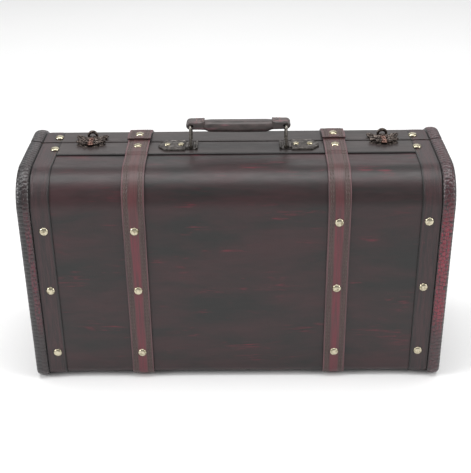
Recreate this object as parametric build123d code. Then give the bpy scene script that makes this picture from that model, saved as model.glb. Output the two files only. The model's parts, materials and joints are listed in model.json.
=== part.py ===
from build123d import *
import os

# Vintage travel case with rounded shoulders, in millimetres.
# X runs along the width, -Y is the front, +Z is up. The case stands on its edge bindings,
# and the origin is the middle of its footprint. The rear half is the lid. It hangs on two
# butt hinges under the case.

# ---- Driving dimensions -------------------------------------------------------------------

WIDTH = 420.0            # over the edge bindings
BODY_DEPTH = 88.0        # front leather face to seam
LID_DEPTH = 54.0         # seam to rear leather face
HEIGHT = 224.0           # leather bottom to leather top
SHOULDER_RADIUS = 33.0   # upper front and rear edges
BOTTOM_RADIUS = 8.0      # lower front and rear edges

BINDING = 4.0            # thickness of the edge binding
BINDING_WIDTH = 13.0     # width of the edge binding along X
BINDING_FLANGE = 12.0    # how far the binding folds over the end face
COVER = 0.4              # leather cover
BOARD = 2.6              # board under the cover
END_BOARD = 6.0          # thickness of each end board
END_COVER = 0.5          # leather on an end board
LINING = 0.8             # lining cloth
BAND = 1.0               # thickness of the end bands
BAND_WIDTH = 19.0        # width of the end bands
TRIM = 1.5               # thickness of the rim trims
BODY_TRIM_DEPTH = 31.0   # body rim trim, measured from the seam
LID_TRIM_DEPTH = 29.0    # lid rim trim, measured from the seam

STRAP = 2.0              # strap thickness
STRAP_WIDTH = 22.4
STRAP_SPACING = 197.8    # middle to middle
STRAP_SHIFT = 0.7        # the straps sit this far right of the middle
STRAP_REACH = 12.0       # how far the strap's tail lies past the seam
TAB_WIDTH = 24.6
TAB_FRONT = 1.0          # tab's free edge, in front of the seam
TAB_ROOT = 18.0          # start of the tab's flexing line, behind the seam
SNAP_FROM_SEAM = 8.0      # snap's middle, behind the seam

LATCH_SPACING = 296.5
LATCH_SHIFT = 1.5        # the latches sit this far right of the middle
LATCH_PIN = 0.8          # radius

HANDLE_SHIFT = 2.9       # handle's middle, right of the case's middle
HANDLE_SPAN = 95.0       # ring to ring
HANDLE_FROM_SEAM = 13.0  # handle's middle, in front of the seam
RING_HEIGHT = 21.7       # lower bar to upper bar
RING_WIDTH = 20.0        # side bar to side bar
RING_WIRE = 1.25         # radius
GRIP_WIDTH = 15.0
GRIP_THICKNESS = 12.0
GRIP_SAG = 2.0           # the bar hangs this far below the end loops
LOOP_WIDTH = 12.0        # grip's end loops, along the ring's bar
LOOP_RADIUS = 4.3
PLATE = 2.2              # thickness of the handle plates
PLATE_WIDTH = 24.0       # across the case's top
PLATE_ROOT = 5.5         # the thick plate starts this far outward of the ring
PLATE_FOOT = 0.9         # thickness of its foot, which runs inward under the ring
PLATE_LIP = 1.3          # radius of the rolled edge at the foot's inner end
PLATE_NAILS = (10.3, 24.0)  # their nails, outward from the ring

NAIL_HEAD = 4.4          # radius of the large dome nails
NAIL_DOME = 2.2          # height of the dome
NAIL_SHANK = 0.8         # radius
NAIL_LENGTH = 3.8
LEFT_NAIL_HEIGHTS = (32.0, 106.5, 173.5)
RIGHT_NAIL_HEIGHTS = (32.0, 108.0, 181.5)

HINGE_SPACING = 280.0
HINGE_WIDTH = 30.0
HINGE_LEAF = 0.9         # thickness
HINGE_REACH = 15.0       # leaf's far edge from the axis
BARREL_RADIUS = 1.5
HINGE_PIN = 0.75         # radius

SEAM_GAP = 0.15          # each half stops this far from the seam plane
FIT = 0.1                # radial clearance round nails and inlaid discs
RUNNING_FIT = 0.05       # radial clearance of the hinge pins
BOTTOM_RELIEF = 4.5      # outer strips stop this far from the seam underneath

# ---- Worked out from them -----------------------------------------------------------------

DEPTH = BODY_DEPTH + LID_DEPTH
FRONT = -DEPTH / 2
BACK = DEPTH / 2
SEAM = FRONT + BODY_DEPTH
BOTTOM = BINDING
TOP = BOTTOM + HEIGHT
MIDDLE = BOTTOM + HEIGHT / 2
END = WIDTH / 2
BINDING_INNER = END - BINDING_WIDTH
BOARD_END = END - 4.0                 # outer face of the end boards
LINING_END = BOARD_END - END_BOARD
BAND_INNER = BINDING_INNER - BAND_WIDTH
WALL = COVER + BOARD
TRIM_TOP = TOP + TRIM
STRAP_LIFT = TRIM + 0.3               # underside of the strap above the cover, over the trims
TAIL_TOP = TOP + STRAP_LIFT + STRAP
TAB_BOTTOM = TAIL_TOP + 0.4
TAB_TOP = TAB_BOTTOM + STRAP
TAB_PIVOT_Y = SEAM + TAB_ROOT
RING_PIVOT_Z = TRIM_TOP + 2.3
GRIP_Z = RING_PIVOT_Z + RING_HEIGHT
HANDLE_Y = SEAM - HANDLE_FROM_SEAM
HINGE_Z = BOTTOM - 1.1
LATCH_PIVOT_Y = SEAM + 4.5
LATCH_PIVOT_Z = TRIM_TOP + 1.9
LATCH_BASE = 1.0                      # thickness of the cast plates on the trims
HASP_BOTTOM = TRIM_TOP + 1.8
HASP = 1.6                            # hasp thickness
FAR = 500.0

SIDES = {"left": -1, "right": 1}


def strap_x(side):
    return side * STRAP_SPACING / 2 + STRAP_SHIFT


def latch_x(side):
    return side * LATCH_SPACING / 2 + LATCH_SHIFT


def ring_x(side):
    return side * HANDLE_SPAN / 2 + HANDLE_SHIFT


# ---- Shared shapes ------------------------------------------------------------------------

def outline(grow):
    """Side outline of the case, moved out by grow. Local x is Y and local y is Z."""
    shape = Rectangle(DEPTH + 2 * grow, HEIGHT + 2 * grow)
    upper = shape.vertices().sort_by(Axis.Y)[2:]
    shape = fillet(upper, SHOULDER_RADIUS + grow)
    lower = shape.vertices().group_by(Axis.Y)[0]
    shape = fillet(lower, max(BOTTOM_RADIUS + grow, 1.0))
    return Pos(0, MIDDLE) * shape


def ring(inner, outer):
    return outline(outer) - outline(inner)


def region(y_low, y_high, z_low=-FAR, z_high=FAR):
    centre = Pos((y_low + y_high) / 2, (z_low + z_high) / 2)
    return centre * Rectangle(y_high - y_low, z_high - z_low)


def half(shape, lid):
    """Keeps the body's or the lid's side of the seam."""
    if lid:
        return shape & region(SEAM + SEAM_GAP, FAR)
    return shape & region(-FAR, SEAM - SEAM_GAP)


def relieve(shape):
    """Clears an outer strip from round the hinge axis."""
    return shape - region(SEAM - BOTTOM_RELIEF, SEAM + BOTTOM_RELIEF, -FAR, MIDDLE)


def bevel_seam(shape):
    """Takes the lower seam corner off a shell, so the hinge barrels have room."""
    return shape - Pos(SEAM, BOTTOM) * Rot(0, 0, 45) * Rectangle(2.5, 2.5)


def along_x(shape, x_low, x_high):
    return extrude(Plane.YZ.offset(x_low) * shape, amount=x_high - x_low)


def span(side, inner, outer):
    """X limits of a strip between two distances from the middle, low one first."""
    return sorted((side * inner, side * outer))


def facing(x, y, z, direction):
    """Plane at a point, with its normal along direction."""
    return Plane(origin=(x, y, z), x_dir=(1, 0, 0), z_dir=direction)


def dome(radius, height):
    """Cap of a sphere standing on z = 0."""
    ball = (radius ** 2 + height ** 2) / (2 * height)
    cap = Pos(0, 0, height - ball) * Sphere(ball)
    return cap & Cylinder(radius, height, align=(Align.CENTER, Align.CENTER, Align.MIN))


def nail(place, head, height, length):
    shank = Cylinder(NAIL_SHANK, length, align=(Align.CENTER, Align.CENTER, Align.MAX))
    return place * (dome(head, height) + shank)


def nail_hole(place, length):
    low = (Align.CENTER, Align.CENTER, Align.MAX)
    return place * Cylinder(NAIL_SHANK + FIT, length + 0.2, align=low)


def drill(part, places, length):
    for place in places:
        part -= nail_hole(place, length)
    return part


def cylinder_x(radius, x_low, x_high, y, z):
    place = Pos((x_low + x_high) / 2, y, z) * Rot(0, 90, 0)
    return place * Cylinder(radius, x_high - x_low)


def cylinder_y(radius, length, x, y, z):
    return Pos(x, y, z) * Rot(90, 0, 0) * Cylinder(radius, length)


def block(x, y, z):
    """Box from three (low, high) pairs."""
    size = [high - low for low, high in (x, y, z)]
    middle = [(high + low) / 2 for low, high in (x, y, z)]
    return Pos(*middle) * Box(*size)


# ---- Where the nails go -------------------------------------------------------------------

def face_nails(lid):
    """The twelve large nails on the front, or on the rear mirrored from it."""
    direction = (0, 1, 0) if lid else (0, -1, 0)
    sign = 1 if lid else -1
    places = {"band": [], "strap": []}
    for side in SIDES.values():
        heights = LEFT_NAIL_HEIGHTS if side < 0 else RIGHT_NAIL_HEIGHTS
        for height in heights:
            band_x = side * (BAND_INNER + 8.0)
            band_y = sign * (DEPTH / 2 + BAND)
            strap_y = sign * (DEPTH / 2 + STRAP)
            places["band"].append(facing(band_x, band_y, height, direction))
            places["strap"].append(facing(strap_x(side), strap_y, height, direction))
    return places


def strap_top_nails():
    """One nail through each strap on the body's rim."""
    return [facing(strap_x(side), SEAM - 16.0, TAIL_TOP, (0, 0, 1)) for side in SIDES.values()]


def corner_nails(lid):
    y = SEAM + 12.5 if lid else SEAM - 17.5
    return [facing(side * (BAND_INNER + 3.5), y, TRIM_TOP, (0, 0, 1)) for side in SIDES.values()]


def handle_nails(side):
    """Two nails in line along each handle plate."""
    x = ring_x(side)
    z = TRIM_TOP + PLATE
    return [facing(x + side * reach, HANDLE_Y, z, (0, 0, 1)) for reach in PLATE_NAILS]


# ---- Shells, ends and lining --------------------------------------------------------------

def board(lid):
    shell = bevel_seam(half(ring(-WALL, -COVER), lid))
    part = along_x(shell, -BOARD_END, BOARD_END)
    return drill_shell(part, lid)


def cover(lid):
    shell = bevel_seam(half(ring(-COVER, 0), lid))
    part = along_x(shell, -BOARD_END, BOARD_END)
    return drill_shell(part, lid)


def drill_shell(part, lid):
    nails = face_nails(lid)
    part = drill(part, nails["band"] + nails["strap"] + corner_nails(lid), NAIL_LENGTH)
    if not lid:
        part = drill(part, strap_top_nails(), NAIL_LENGTH)
    return part


def end_board(side, lid):
    shape = bevel_seam(half(outline(-WALL), lid))
    return along_x(shape, *span(side, LINING_END, BOARD_END))


def end_cover(side, lid):
    shape = bevel_seam(half(outline(-BINDING_FLANGE), lid))
    return along_x(shape, *span(side, BOARD_END, BOARD_END + END_COVER))


def lining(lid):
    outer = along_x(half(outline(-WALL), lid), -LINING_END, LINING_END)
    inner = outline(-WALL - LINING)
    mouth = region(SEAM - 1, FAR) if not lid else region(-FAR, SEAM + 1)
    hollow = (inner & region(-FAR, SEAM)) if not lid else (inner & region(SEAM, FAR))
    hollow += mouth & inner
    cavity = along_x(hollow, -LINING_END + LINING, LINING_END - LINING)
    return outer - cavity


# ---- Strips on the outside ----------------------------------------------------------------

def binding(side, lid):
    """Edge binding: a strip round the edge, folded over onto the end face."""
    edge = relieve(half(ring(0, BINDING), lid))
    flange = relieve(half(ring(-BINDING_FLANGE, BINDING), lid))
    strip = along_x(edge, *span(side, BINDING_INNER, END))
    return strip + along_x(flange, *span(side, BOARD_END, END))


def band(side, lid):
    shape = relieve(half(ring(0, BAND), lid))
    part = along_x(shape, *span(side, BAND_INNER, BINDING_INNER))
    return drill(part, face_nails(lid)["band"] + corner_nails(lid), NAIL_LENGTH)


def rim_trim(lid):
    if lid:
        reach = region(SEAM, SEAM + LID_TRIM_DEPTH, MIDDLE, FAR)
    else:
        reach = region(SEAM - BODY_TRIM_DEPTH, SEAM, MIDDLE, FAR)
    shape = half(ring(0, TRIM), lid) & reach
    part = along_x(shape, -BAND_INNER, BAND_INNER)
    return part if lid else drill(part, strap_top_nails(), NAIL_LENGTH)


def body_strap(side):
    """Strap over the front and the rim. Its tail crosses the seam under the tab."""
    step = SEAM - BODY_TRIM_DEPTH
    flat = ring(0, STRAP) & region(-FAR, step)
    under = ring(0, STRAP) & region(-FAR, SEAM - BOTTOM_RELIEF, -FAR, MIDDLE)
    raised = ring(STRAP_LIFT, STRAP_LIFT + STRAP)
    raised &= region(step - 2.0, SEAM + STRAP_REACH, MIDDLE, FAR)
    x = strap_x(side)
    part = along_x(flat + under + raised, x - STRAP_WIDTH / 2, x + STRAP_WIDTH / 2)
    part = drill(part, face_nails(False)["strap"] + strap_top_nails(), NAIL_LENGTH)
    return part - snap_stud(side, FIT)


def lid_strap(side):
    """Strap from the tab's root over the lid's trim, down the rear and underneath."""
    step = SEAM + LID_TRIM_DEPTH
    flat = ring(0, STRAP) & region(step, FAR)
    under = ring(0, STRAP) & region(SEAM + BOTTOM_RELIEF, FAR, -FAR, MIDDLE)
    raised = ring(TRIM, TRIM + STRAP) & region(TAB_PIVOT_Y + 2.0, step + 2.0, MIDDLE, FAR)
    x = strap_x(side)
    part = along_x(flat + under + raised, x - STRAP_WIDTH / 2, x + STRAP_WIDTH / 2)
    return drill(part, face_nails(True)["strap"], NAIL_LENGTH)


def nails(lid):
    places = face_nails(lid)
    spots = places["band"] + places["strap"] + corner_nails(lid)
    if not lid:
        spots += strap_top_nails()
    return [nail(place, NAIL_HEAD, NAIL_DOME, NAIL_LENGTH) for place in spots]


# ---- Strap snaps and tabs -----------------------------------------------------------------

def snap_stud(side, grow=0.0):
    """Flat disc let into the strap's tail. Magnetic, so nothing stands proud of it."""
    thickness = 0.9
    place = Pos(strap_x(side), SEAM + SNAP_FROM_SEAM - 1.0, TAIL_TOP)
    return place * Cylinder(3.6 + grow, thickness, align=(Align.CENTER, Align.CENTER, Align.MAX))


def tab_place(side):
    return facing(strap_x(side), SEAM + SNAP_FROM_SEAM, TAB_TOP, (0, 0, 1))


def strap_tab(side):
    """Flap on the lid that lies over the tail. It flexes at its rear end."""
    knee = SEAM + STRAP_REACH + 0.8
    root = TAB_PIVOT_Y - 0.4
    root_z = TRIM_TOP + 0.1
    free_edge = SEAM - TAB_FRONT
    profile = Polyline(
        (free_edge, TAB_BOTTOM),
        (knee, TAB_BOTTOM),
        (root, root_z),
        (root, root_z + STRAP),
        (knee + 0.6, TAB_TOP),
        (free_edge, TAB_TOP),
        close=True,
    )
    x = strap_x(side)
    part = along_x(make_face(profile), x - TAB_WIDTH / 2, x + TAB_WIDTH / 2)
    return drill(part, [tab_place(side)], STRAP)


def tab_snap(side):
    return nail(tab_place(side), NAIL_HEAD, NAIL_DOME, STRAP)


# ---- Handle -------------------------------------------------------------------------------

def handle_plate(side):
    """Nailed plate, pointed at its outer end, with a folded knuckle for the ring."""
    half_width = PLATE_WIDTH / 2
    outline_points = Polyline(
        (PLATE_ROOT, -half_width),
        (26.0, -half_width),
        (33.0, -3.5),
        (33.0, 3.5),
        (26.0, half_width),
        (PLATE_ROOT, half_width),
        close=True,
    )
    plate = extrude(make_face(outline_points), amount=PLATE)
    rim = plate.faces().sort_by(Axis.Z)[-1].edges()
    plate = chamfer(rim, 0.8)
    knuckle_width = RING_WIDTH - 6.0
    joint_x = PLATE_ROOT + 1.0
    neck = block((RING_WIRE + 0.4, joint_x), (-knuckle_width / 2, knuckle_width / 2), (0, PLATE - 0.4))
    foot = block((-PLATE_ROOT, joint_x), (-RING_WIDTH / 2, RING_WIDTH / 2), (0, PLATE_FOOT))
    lip = cylinder_y(PLATE_LIP, RING_WIDTH, -PLATE_ROOT, 0, PLATE_LIP)
    knuckle_z = RING_PIVOT_Z - TRIM_TOP
    knuckle = cylinder_y(2.3, knuckle_width, 0, 0, knuckle_z)
    bore = cylinder_y(RING_WIRE + RUNNING_FIT, RING_WIDTH, 0, 0, knuckle_z)
    part = Pos(ring_x(side), HANDLE_Y, TRIM_TOP) * Rot(0, 0, 0 if side > 0 else 180) \
        * (plate + neck + foot + lip + knuckle - bore)
    return drill(part, handle_nails(side), PLATE)


def handle_ring(side):
    """Closed wire ring. Its lower bar turns in the plate's knuckle."""
    middle = Plane(
        origin=(ring_x(side), HANDLE_Y, RING_PIVOT_Z + RING_HEIGHT / 2), x_dir=(0, 1, 0), z_dir=(1, 0, 0)
    )
    path = (middle * RectangleRounded(RING_WIDTH, RING_HEIGHT, 1.8)).wire()
    section = Plane(origin=path @ 0, z_dir=path % 0) * Circle(RING_WIRE)
    return sweep(section, path=path)


def grip_core_box(grow):
    """Stiff core inside the grip's leather."""
    length = HANDLE_SPAN - 18.0
    return Pos(HANDLE_SHIFT, HANDLE_Y, GRIP_Z) * Box(length + 2 * grow, 8.0 + 2 * grow, 3.4 + 2 * grow)


def handle_grip():
    bar = Box(HANDLE_SPAN - 10.0, GRIP_WIDTH, GRIP_THICKNESS)
    bar = Pos(0, 0, -GRIP_SAG) * fillet(bar.edges().filter_by(Axis.X), 3.6)
    neck = Box(HANDLE_SPAN, LOOP_WIDTH, 2 * LOOP_RADIUS - 1.6)
    part = Pos(HANDLE_SHIFT, HANDLE_Y, GRIP_Z) * (bar + neck)
    for side in SIDES.values():
        part += cylinder_y(LOOP_RADIUS, LOOP_WIDTH, ring_x(side), HANDLE_Y, GRIP_Z)
    for side in SIDES.values():
        slack = RUNNING_FIT if side < 0 else 0.3
        part -= cylinder_y(RING_WIRE + slack, GRIP_WIDTH * 2, ring_x(side), HANDLE_Y, GRIP_Z)
    return part - grip_core_box(FIT)


# ---- Latches ------------------------------------------------------------------------------

def petals(places, radius, thickness):
    """Flat cast plate made of overlapping round lobes."""
    shape = None
    for x, y in places:
        lobe = Pos(x, y) * Circle(radius)
        shape = lobe if shape is None else shape + lobe
    return extrude(shape, amount=thickness)


def mirrored(places):
    return [(-x, y) for x, y in places] + list(places)


def latch_pin_places(side, lid):
    y = SEAM + 7.8 if lid else SEAM - 6.0
    spots = (-11.6, 11.6)
    return [facing(latch_x(side) + spot, y, TRIM_TOP + LATCH_BASE, (0, 0, 1)) for spot in spots]


def latch_plate(side):
    """Lid half of a latch: three lobes, two knuckles and a raised arch."""
    x = latch_x(side)
    lobes = mirrored([(11.0, 6.8), (5.5, 8.6)]) + [(0.0, 11.0)]
    plate = petals(lobes, 4.6, LATCH_BASE)
    foot = block((-9.5, 9.5), (2.6, 9.0), (0, LATCH_BASE))
    arch = Pos(0, 9.8, LATCH_BASE + 1.2) * Rot(90, 0, 0) * Torus(4.2, 1.2)
    arch &= block((-FAR, FAR), (-FAR, FAR), (0, FAR))
    part = Pos(x, SEAM, TRIM_TOP) * (plate + foot + arch)
    for end in (-1, 1):
        inner, outer = sorted((x + end * 4.9, x + end * 9.5))
        part += cylinder_x(1.6, inner, outer, LATCH_PIVOT_Y, LATCH_PIVOT_Z)
    part -= cylinder_x(LATCH_PIN + RUNNING_FIT, x - 12, x + 12, LATCH_PIVOT_Y, LATCH_PIVOT_Z)
    part -= cylinder_x(2.0, x - 4.9, x + 4.9, LATCH_PIVOT_Y, LATCH_PIVOT_Z)
    return drill(part, latch_pin_places(side, True), LATCH_BASE)


def hasp(side):
    """Moving half: a knuckle, four lobes over the seam and a round knob."""
    x = latch_x(side)
    tail = block((-3.6, 3.6), (-9.0, 3.6), (0, HASP))
    lobes = petals(mirrored([(9.6, -3.5), (5.6, -8.4)]), 4.4, HASP)
    bridge = block((-9.0, 9.0), (-7.0, -2.0), (0, HASP))
    knob = Pos(0, -10.5, 0) * Cylinder(3.6, HASP, align=(Align.CENTER, Align.CENTER, Align.MIN))
    knob += Pos(0, -10.5, HASP) * dome(3.0, 2.4)
    plate = Pos(x, SEAM, HASP_BOTTOM) * (tail + lobes + bridge + knob)
    knuckle = cylinder_x(1.6, x - 4.6, x + 4.6, LATCH_PIVOT_Y, LATCH_PIVOT_Z)
    bore = cylinder_x(LATCH_PIN + RUNNING_FIT, x - 12, x + 12, LATCH_PIVOT_Y, LATCH_PIVOT_Z)
    return plate + knuckle - bore


def latch_hinge_pins():
    return [
        cylinder_x(LATCH_PIN, latch_x(side) - 9.5, latch_x(side) + 9.5, LATCH_PIVOT_Y, LATCH_PIVOT_Z)
        for side in SIDES.values()
    ]


def latch_catch(side):
    """Body half of a latch: a lobed plate with a low catch post."""
    lobes = mirrored([(11.0, -6.0), (5.5, -10.0)]) + [(0.0, -6.0)]
    plate = petals(lobes, 4.4, LATCH_BASE)
    post = Pos(0, -6.0, LATCH_BASE) * dome(1.8, 0.5)
    part = Pos(latch_x(side), SEAM, TRIM_TOP) * (plate + post)
    return drill(part, latch_pin_places(side, False), LATCH_BASE)


def latch_pins(lid):
    """Small round-headed pins through the cast plates."""
    group = []
    for side in SIDES.values():
        for place in latch_pin_places(side, lid):
            group.append(nail(place, 1.4, 0.6, LATCH_BASE))
    return group


# ---- Hinges under the case ----------------------------------------------------------------

def hinge_knuckles(lid):
    """X limits of one half's knuckles, from the hinge's middle."""
    third = HINGE_WIDTH / 3
    if lid:
        return [(-third / 2 + 0.2, third / 2 - 0.2)]
    return [(-HINGE_WIDTH / 2, -third / 2), (third / 2, HINGE_WIDTH / 2)]


def hinge_leaves(lid):
    sign = 1 if lid else -1
    group = []
    for side in SIDES.values():
        x = side * HINGE_SPACING / 2
        reach = sorted((SEAM + sign * 1.9, SEAM + sign * HINGE_REACH))
        leaf = block((x - HINGE_WIDTH / 2, x + HINGE_WIDTH / 2), reach, (BOTTOM - HINGE_LEAF, BOTTOM))
        for low, high in hinge_knuckles(lid):
            leaf += cylinder_x(BARREL_RADIUS, x + low, x + high, SEAM, HINGE_Z)
            arm = sorted((SEAM + sign * 1.0, SEAM + sign * 2.2))
            leaf += block((x + low, x + high), arm, (BOTTOM - HINGE_LEAF, BOTTOM - 0.1))
        leaf -= cylinder_x(HINGE_PIN + RUNNING_FIT, x - HINGE_WIDTH, x + HINGE_WIDTH, SEAM, HINGE_Z)
        for place in hinge_screw_places(side, lid):
            leaf -= place * Cylinder(1.2 + FIT, 4.0)
        group.append(leaf)
    return group


def hinge_screw_places(side, lid):
    sign = 1 if lid else -1
    x = side * HINGE_SPACING / 2
    y = SEAM + sign * 9.0
    return [facing(x + spot, y, BOTTOM - HINGE_LEAF, (0, 0, -1)) for spot in (-9.0, 9.0)]


def hinge_screws(lid):
    """Round-headed screws. Their shanks stop at the cover."""
    group = []
    for side in SIDES.values():
        for place in hinge_screw_places(side, lid):
            shank = Cylinder(1.2, HINGE_LEAF, align=(Align.CENTER, Align.CENTER, Align.MAX))
            group.append(place * (dome(2.2, 0.9) + shank))
    return group


def hinge_pins():
    return [
        cylinder_x(HINGE_PIN, x - HINGE_WIDTH / 2, x + HINGE_WIDTH / 2, SEAM, HINGE_Z)
        for x in (-HINGE_SPACING / 2, HINGE_SPACING / 2)
    ]


# ---- Every node ---------------------------------------------------------------------------

def build():
    nodes = {}
    for name, lid in (("body", False), ("lid", True)):
        nodes[f"{name}_board"] = board(lid)
        nodes[f"{name}_cover"] = cover(lid)
        nodes[f"{name}_lining"] = lining(lid)
        nodes[f"{name}_rim_trim"] = rim_trim(lid)
        nodes[f"{name}_nails"] = nails(lid)
        nodes[f"hinge_leaves_{name}"] = hinge_leaves(lid)
        nodes[f"hinge_screws_{name}"] = hinge_screws(lid)
        nodes[f"latch_pins_{name}"] = latch_pins(lid)
        for word, side in SIDES.items():
            nodes[f"{name}_end_board_{word}"] = end_board(side, lid)
            nodes[f"{name}_end_cover_{word}"] = end_cover(side, lid)
            nodes[f"{name}_binding_{word}"] = binding(side, lid)
            nodes[f"{name}_band_{word}"] = band(side, lid)
    for word, side in SIDES.items():
        nodes[f"body_strap_{word}"] = body_strap(side)
        nodes[f"lid_strap_{word}"] = lid_strap(side)
        nodes[f"strap_tab_{word}"] = strap_tab(side)
        nodes[f"tab_snap_{word}"] = tab_snap(side)
        nodes[f"handle_plate_{word}"] = handle_plate(side)
        nodes[f"handle_ring_{word}"] = handle_ring(side)
        nodes[f"latch_plate_{word}"] = latch_plate(side)
        nodes[f"latch_catch_{word}"] = latch_catch(side)
        nodes[f"hasp_{word}"] = hasp(side)
    nodes["strap_snap_studs"] = [snap_stud(side) for side in SIDES.values()]
    nodes["handle_grip"] = handle_grip()
    nodes["handle_core"] = grip_core_box(0)
    nodes["handle_nails"] = [
        nail(place, 3.2, 1.6, PLATE) for side in SIDES.values() for place in handle_nails(side)
    ]
    nodes["latch_hinge_pins"] = latch_hinge_pins()
    nodes["hinge_pins"] = hinge_pins()
    return nodes


os.makedirs("parts", exist_ok=True)
for node, shape in build().items():
    solids = shape if isinstance(shape, list) else [shape]
    children = [solid for piece in solids for solid in piece.solids()]
    export_step(Compound(children=children), f"parts/{node}.step")
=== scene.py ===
import json
import math
import random

import bpy
import numpy as np
from mathutils import Matrix, Vector, noise


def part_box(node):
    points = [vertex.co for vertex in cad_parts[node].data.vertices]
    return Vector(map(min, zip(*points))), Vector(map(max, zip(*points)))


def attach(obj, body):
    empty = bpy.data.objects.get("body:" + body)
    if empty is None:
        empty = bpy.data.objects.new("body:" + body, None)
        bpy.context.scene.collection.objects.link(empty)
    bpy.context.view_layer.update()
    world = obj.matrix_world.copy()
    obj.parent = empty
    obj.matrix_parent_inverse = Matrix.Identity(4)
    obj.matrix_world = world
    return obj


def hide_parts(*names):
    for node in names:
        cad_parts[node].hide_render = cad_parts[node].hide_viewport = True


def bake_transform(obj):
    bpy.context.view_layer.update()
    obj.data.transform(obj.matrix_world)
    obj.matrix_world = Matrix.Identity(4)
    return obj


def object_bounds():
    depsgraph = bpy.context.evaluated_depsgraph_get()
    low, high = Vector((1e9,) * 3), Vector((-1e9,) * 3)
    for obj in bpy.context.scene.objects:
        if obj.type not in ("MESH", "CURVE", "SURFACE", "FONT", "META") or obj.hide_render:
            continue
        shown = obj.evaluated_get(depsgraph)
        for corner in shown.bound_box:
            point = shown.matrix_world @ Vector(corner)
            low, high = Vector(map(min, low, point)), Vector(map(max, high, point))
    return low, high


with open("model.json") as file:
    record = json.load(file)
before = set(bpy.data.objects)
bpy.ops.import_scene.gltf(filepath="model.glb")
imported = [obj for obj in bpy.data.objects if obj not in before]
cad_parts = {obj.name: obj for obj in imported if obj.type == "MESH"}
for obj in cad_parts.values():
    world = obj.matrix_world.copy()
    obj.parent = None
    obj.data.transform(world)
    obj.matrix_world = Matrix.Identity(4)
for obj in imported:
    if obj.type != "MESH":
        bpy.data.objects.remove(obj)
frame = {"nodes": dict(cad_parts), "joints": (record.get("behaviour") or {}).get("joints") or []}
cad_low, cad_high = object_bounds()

# Looks of a vintage travel case. Lengths are metres in the CAD frame: X along the width,
# -Y out of the front, +Z up. "Height" of a point on a strip is its distance from the leather.

MM = 0.001
SIDES = {"left": -1, "right": 1}

# ---- Places taken from the frame

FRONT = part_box("body_cover")[0].y
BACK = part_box("lid_cover")[1].y
SEAM = (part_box("body_cover")[1].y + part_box("lid_cover")[0].y) / 2
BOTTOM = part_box("body_cover")[0].z
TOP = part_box("body_cover")[1].z
TRIM_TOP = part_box("body_rim_trim")[1].z
END = cad_high.x
BINDING_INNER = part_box("body_binding_right")[0].x
BAND_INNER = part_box("body_band_right")[0].x
END_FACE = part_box("body_end_cover_right")[0].x
LINING_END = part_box("body_end_board_right")[0].x
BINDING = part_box("body_binding_right")[1].z - TOP
TRIM_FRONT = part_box("body_rim_trim")[0].y
TRIM_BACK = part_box("lid_rim_trim")[1].y
TAIL_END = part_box("body_strap_left")[1].y
TAIL_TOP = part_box("body_strap_left")[1].z
TAB_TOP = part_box("strap_tab_left")[1].z
TAB_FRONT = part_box("strap_tab_left")[0].y
STRAP_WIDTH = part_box("body_strap_left")[1].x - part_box("body_strap_left")[0].x
JOINT = {joint["name"]: joint for joint in frame["joints"]}

OPENING = 1.3 * MM       # half of the visible gap along the seam
SHOULDER = 33 * MM       # radius of the upper edges
HEEL = 8 * MM            # radius of the lower edges
STRAP = 2 * MM           # strap thickness
TRIM = TRIM_TOP - TOP
BAND = 1 * MM
WALL = 3 * MM
RELIEF = 4.5 * MM        # strips stop this far from the seam underneath
HAIR = 0.1 * MM          # gap that keeps two thin faces apart


def middle(node):
    low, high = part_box(node)
    return (low + high) / 2


# ---- Paths round the case

def line_points(start, end, normal, step):
    length = math.dist(start, end)
    count = max(1, round(length / step))
    for i in range(count + 1):
        t = i / count
        y = start[0] + (end[0] - start[0]) * t
        z = start[1] + (end[1] - start[1]) * t
        yield (y, z, *normal)


def arc_points(centre, radius, out, rising, step):
    """Quarter turn from pointing down to pointing out, or on from there to pointing up."""
    count = max(8, round(radius * math.pi / 2 / step))
    for i in range(count + 1):
        a = math.pi / 2 * i / count
        if rising:
            normal = (out * math.cos(a), math.sin(a))
        else:
            normal = (out * math.sin(a), -math.cos(a))
        yield (centre[0] + radius * normal[0], centre[1] + radius * normal[1], *normal)


class Path:
    """Line on the leather in the YZ plane: points, outward normals and distance run."""

    def __init__(self, rows):
        kept = [rows[0]]
        for row in rows[1:]:
            if math.dist(row[:2], kept[-1][:2]) > 1e-6:
                kept.append(row)
        data = np.array(kept)
        self.point = data[:, :2]
        self.normal = data[:, 2:]
        steps = np.linalg.norm(np.diff(self.point, axis=0), axis=1)
        self.run = np.concatenate(([0.0], np.cumsum(steps)))

    def at(self, run):
        """Point and normal at a distance run."""
        point = [np.interp(run, self.run, self.point[:, k]) for k in (0, 1)]
        normal = np.array([np.interp(run, self.run, self.normal[:, k]) for k in (0, 1)])
        normal /= np.linalg.norm(normal)
        return np.array(point), normal

    def resampled(self, runs):
        """The same line, with its points at the given distances run."""
        return Path([(*point, *normal) for point, normal in map(self.at, runs)])

    def run_at(self, y, z):
        """Distance run of the point nearest to (y, z)."""
        return self.run[np.argmin(np.hypot(self.point[:, 0] - y, self.point[:, 1] - z))]


def case_path(lid, under=None, top=None, step=2 * MM):
    """From under the case, round the front of the body or the rear of the lid, to the top."""
    out = 1 if lid else -1
    face = BACK if lid else FRONT
    under = SEAM + out * RELIEF if under is None else under
    top = SEAM + out * OPENING if top is None else top
    heel_y = face - out * HEEL
    shoulder_y = face - out * SHOULDER
    shoulder_z = TOP - SHOULDER
    rows = []
    rows += line_points((under, BOTTOM), (heel_y, BOTTOM), (0, -1), step)
    rows += arc_points((heel_y, BOTTOM + HEEL), HEEL, out, False, step)
    rows += line_points((face, BOTTOM + HEEL), (face, shoulder_z), (out, 0), step)
    rows += arc_points((shoulder_y, shoulder_z), SHOULDER, out, True, step)
    rows += line_points((shoulder_y, TOP), (top, TOP), (0, 1), step)
    return Path(rows)


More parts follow.
